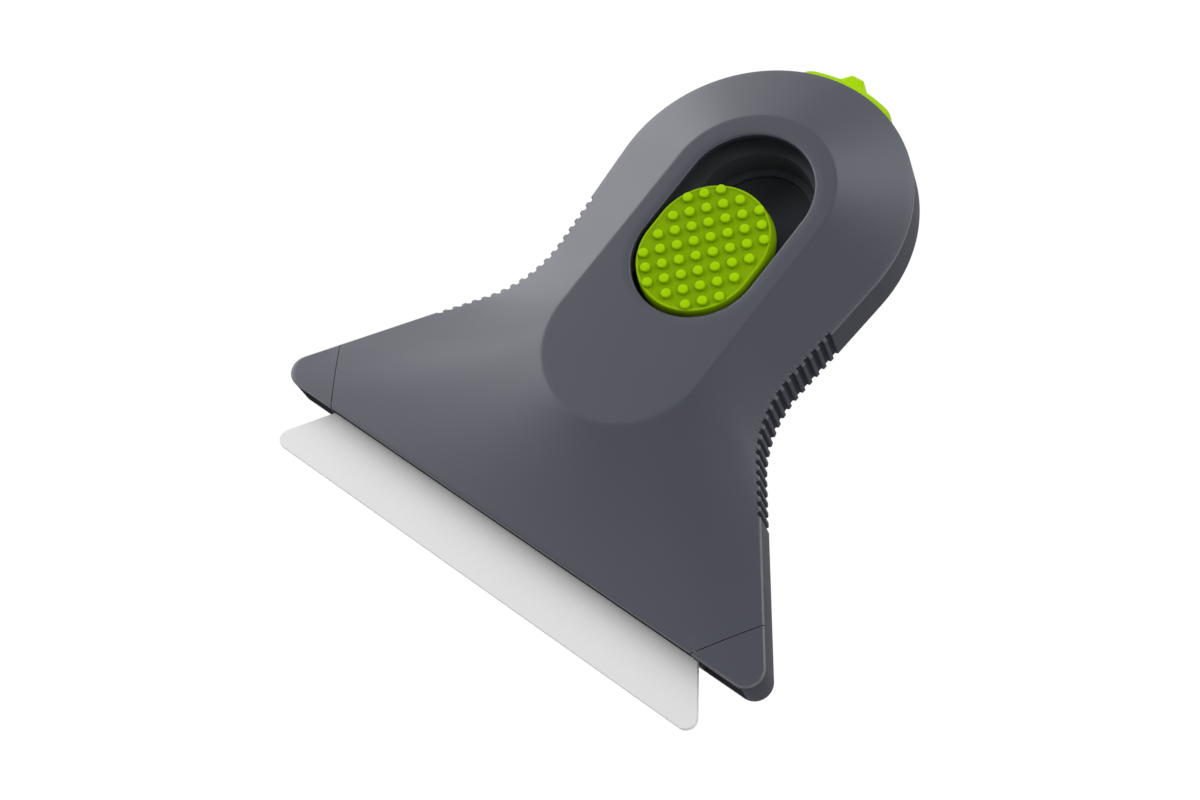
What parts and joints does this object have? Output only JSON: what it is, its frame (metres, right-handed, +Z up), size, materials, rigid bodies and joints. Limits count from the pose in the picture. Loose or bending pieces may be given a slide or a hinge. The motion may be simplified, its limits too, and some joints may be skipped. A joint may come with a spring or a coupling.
{
  "type": "cleaning scraper",
  "caption": "Flat palm scraper with a wide blade that a thumb button slides in and out of a flared body, a hinged cover and a rear latch.",
  "frame": {"origin": "on the flat underside, below the centre of the rounded handle end", "axes": "+Z up out of the top, +Y towards the handle end, so the cutting edge faces -Y, +X to the right"},
  "size_m": [0.1196, 0.1254, 0.0142],
  "materials": {
    "dark_plastic": "fine satin moulded surface, dark blue-grey",
    "green_plastic": "smooth satin, lime green",
    "frame_plastic": "plain moulded, black",
    "blade_ceramic": "matt white fired ceramic with fine grain, ground cutting edge",
    "clamp_steel": "dark painted sheet",
    "spring_steel": "plain spring strip",
    "screw_steel": "zinc plated"
  },
  "bodies": {
    "body": {"base_shell": "dark_plastic", "guide_frame": "frame_plastic", "frame_screw_fl": "screw_steel", "frame_screw_fr": "screw_steel", "frame_screw_rl": "screw_steel", "frame_screw_rr": "screw_steel", "hinge_pin_l": "screw_steel", "hinge_pin_r": "screw_steel"},
    "cover": {"top_cover": "dark_plastic"},
    "slider": {"thumb_button": "green_plastic", "sled": "frame_plastic", "click_spring": "spring_steel", "click_rivet": "screw_steel", "blade": "blade_ceramic", "blade_clamp": "clamp_steel", "clamp_screw_l": "screw_steel", "clamp_screw_r": "screw_steel", "blade_dowel_l": "screw_steel", "blade_dowel_r": "screw_steel", "button_screw_f": "screw_steel", "button_screw_b": "screw_steel"},
    "latch": {"latch_slide": "green_plastic", "latch_ring": "frame_plastic", "latch_screw_l": "screw_steel", "latch_screw_r": "screw_steel"}
  },
  "joints": [
    {"name": "blade_slide", "type": "slide", "parent": "body", "child": "slider", "axis": [0, 1, 0], "range_m": [0, 0.012], "deforming": ["click_spring"]},
    {"name": "cover_hinge", "type": "hinge", "parent": "body", "child": "cover", "pos_m": [0, -0.0786, 0.00775], "axis": [1, 0, 0], "range_deg": [0, 40]},
    {"name": "latch_turn", "type": "hinge", "parent": "body", "child": "latch", "pos_m": [0, 0, 0.0046], "axis": [0, 0, -1], "range_deg": [0, 12]}
  ]
}
